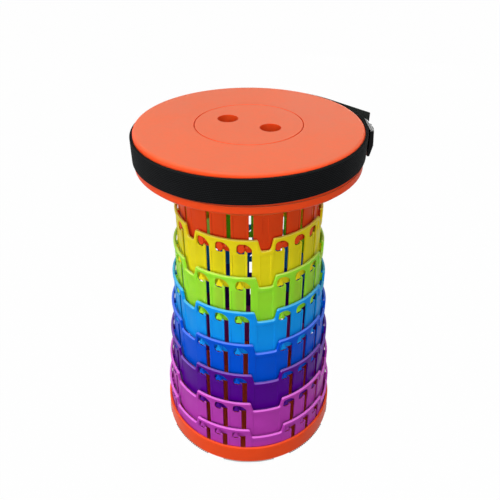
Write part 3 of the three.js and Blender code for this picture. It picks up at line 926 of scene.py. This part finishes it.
def makeStrap(material):
    inner = web["seatRadius"] + web["gap"]
    loop = spun("strapLoop", webProfile(inner), 180)
    hang(loop)
    layWeave(loop, inner + web["thickness"])
    smooth(loop, 50)
    finishPiece(loop, "strapLoop", "seat", "black_webbing", material, "strap_loop")
    outer = inner + web["thickness"] + web["gap"]
    tail = spun("strapTail", webProfile(outer), 160, web["leave"] - web["start"], web["start"])
    closeEnds(tail)
    heading, out = tailAxes()
    pick(tail, "FACE", lambda p: abs(p.dot(heading)) < web["endDepth"] and p.dot(out) > 0)
    move = heading * web["loose"] / web["looseSteps"] * mm
    for n in range(web["looseSteps"]):
        bpy.ops.mesh.extrude_region_move(TRANSFORM_OT_translate={"value": move})
    leaveEdit()
    hang(tail)
    layWeave(tail, outer + web["thickness"])
    smooth(tail, 50)
    finishPiece(tail, "strapTail", "seat", "black_webbing", material, "strap_tail")


makeStrap(webbingMaterial())


# The ladder adjuster, flat against the strap on the right
adjuster = {
    "length": 35, "thickness": 5.8, "rear": 3, "round": 2, "backRound": 0.8, "bend": 2, "bendRound": 9,
    "slot": 5, "bar": 5.4, "rail": 2, "edge": 0.5, "shoulder": 2, "backEdge": 0.1, "taper": 2.8,
    "taperHeight": 12, "topTaper": 1.4, "paintedHighlightFrom": 0.3,
}


def makeAdjuster(material):
    low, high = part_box("strap_adjuster")
    face, z0, z1 = low.x / mm, low.z / mm, high.z / mm
    half, thick = adjuster["length"] / 2, adjuster["thickness"]
    back, soft = adjuster["backRound"], adjuster["round"]
    outline = rounded([(face, -half, back), (face + thick, -half, soft),
                       (face + thick, adjuster["bend"], adjuster["bendRound"]),
                       (face + adjuster["rear"], half, soft), (face, half, back)], 6)
    body = flatLoop("adjuster", [(x, y, z0) for x, y in outline])
    extrude(body, (0, 0, adjuster["taperHeight"]), (0, 0, z1 - z0 - adjuster["taperHeight"]))
    for side in (-1, 1):
        near = side * adjuster["bar"] / 2
        far = near + side * adjuster["slot"]
        combine(body, block("slot", (face - over, min(near, far), z0 + adjuster["rail"]),
                            (face + thick + over, max(near, far), z1 - adjuster["rail"])))
    for z, inward in ((z0, adjuster["taper"]), (z1, adjuster["topTaper"])):
        pick(body, "VERT", lambda p: abs(p.z - z) < close)
        bpy.ops.transform.resize(value=(1 - inward / thick, 1, 1), center_override=(face * mm, 0, 0))
        leaveEdit()
    front = face + adjuster["backEdge"]
    bevelWhere(body, lambda p: p.z > z1 - close and p.x > front, adjuster["shoulder"], 4)
    # painted highlight: faces that look up are painted paler, for the grey reflection along the top
    layer = body.data.attributes.new("paintedLight", "FLOAT", "FACE")
    for polygon in body.data.polygons:
        layer.data[polygon.index].value = 1 if polygon.normal.z > adjuster["paintedHighlightFrom"] else 0
    roundEdges(body, adjuster["edge"], 3)
    smooth(body)
    finishPiece(body, "adjuster", "seat", "black_plastic", material, "strap_adjuster")


makeAdjuster(plasticMaterial("blackPlastic", "020203", 0, 0.24, 0.1, 900.0, 0.01, 0.02))


# The picture: floor, light and the camera, which looks down on the seat from the front
shot = {"back": 565.4, "height": 649.5, "pitch": 34.17, "lens": 39.23, "shiftX": 0.0025, "shiftY": 0.0005}
light = {"world": 0.26, "floor": 0.22, "floorWhite": 0.99, "floorSize": 8, "aim": (0, 0, 0.25)}
lamps = {  # power, width, height and place of each soft box
    "key": (25.0, 0.9, 0.9, (-0.2, -0.35, 1.85)), "strip": (5.0, 1.4, 0.15, (-0.1, -0.95, 1.6)),
    "front": (14.0, 1.2, 1.2, (0.5, -1.95, 0.75)), "left": (18.0, 1.0, 1.0, (-1.7, -0.6, 0.25)),
    "back": (10.0, 0.8, 0.8, (0.5, 1.9, 0.2)),
}


def whiteFor(tree, low, high):  # low for the light on the object, high for what camera, gloss and glass see
    ray = node(tree, "ShaderNodeLightPath").outputs
    seen = maths(tree, "MAXIMUM", maths(tree, "MAXIMUM", ray["Is Camera Ray"], ray["Is Glossy Ray"]),
                 ray["Is Transmission Ray"])
    return ramp(tree, seen, start=low, end=high)


def makeRoom():
    world = bpy.data.worlds.new("studio")
    world.use_nodes = True
    bpy.context.scene.world = world
    background = world.node_tree.nodes["Background"]
    background.inputs["Color"].default_value = (1, 1, 1, 1)
    world.node_tree.links.new(whiteFor(world.node_tree, light["world"], 1.0), background.inputs["Strength"])
    bpy.ops.mesh.primitive_plane_add(size=light["floorSize"])
    floor = bpy.context.object
    floor.name = floor.data.name = "floor"
    material = bpy.data.materials.new("paleFloor")
    material.use_nodes = True
    tree = material.node_tree
    tree.nodes.remove(tree.nodes["Principled BSDF"])
    matt = node(tree, "ShaderNodeBsdfDiffuse", {"Color": (*[light["floor"]] * 3, 1)})
    glow = node(tree, "ShaderNodeEmission", {"Color": (1, 1, 1, 1)})
    mix = node(tree, "ShaderNodeMixShader", {0: whiteFor(tree, 0.0, light["floorWhite"])})
    tree.links.new(matt.outputs[0], mix.inputs[1])
    tree.links.new(glow.outputs[0], mix.inputs[2])
    tree.links.new(mix.outputs[0], tree.nodes["Material Output"].inputs["Surface"])
    floor.data.materials.append(material)


def addLamp(name, power, width, height, place):
    lamp = bpy.data.lights.new(name, "AREA")
    lamp.shape = "RECTANGLE"
    lamp.energy, lamp.size, lamp.size_y = power, width, height
    stand = bpy.data.objects.new(name, lamp)
    stand.location = place
    aim = Vector(light["aim"]) - Vector(place)
    stand.rotation_euler = aim.to_track_quat("-Z", "Y").to_euler()
    bpy.context.collection.objects.link(stand)


def addCamera():
    data = bpy.data.cameras.new("camera")
    data.lens = shot["lens"]
    data.shift_x = shot["shiftX"]
    data.shift_y = shot["shiftY"]
    camera = bpy.data.objects.new("camera", data)
    camera.location = (0, -shot["back"] * mm, shot["height"] * mm)
    camera.rotation_euler = (math.radians(90 - shot["pitch"]), 0, 0)
    bpy.context.collection.objects.link(camera)
    bpy.context.scene.camera = camera
    bpy.context.scene.view_settings.view_transform = "Standard"


makeRoom()
for name, plan in lamps.items():
    addLamp(name, *plan)
addCamera()
print("room ready")
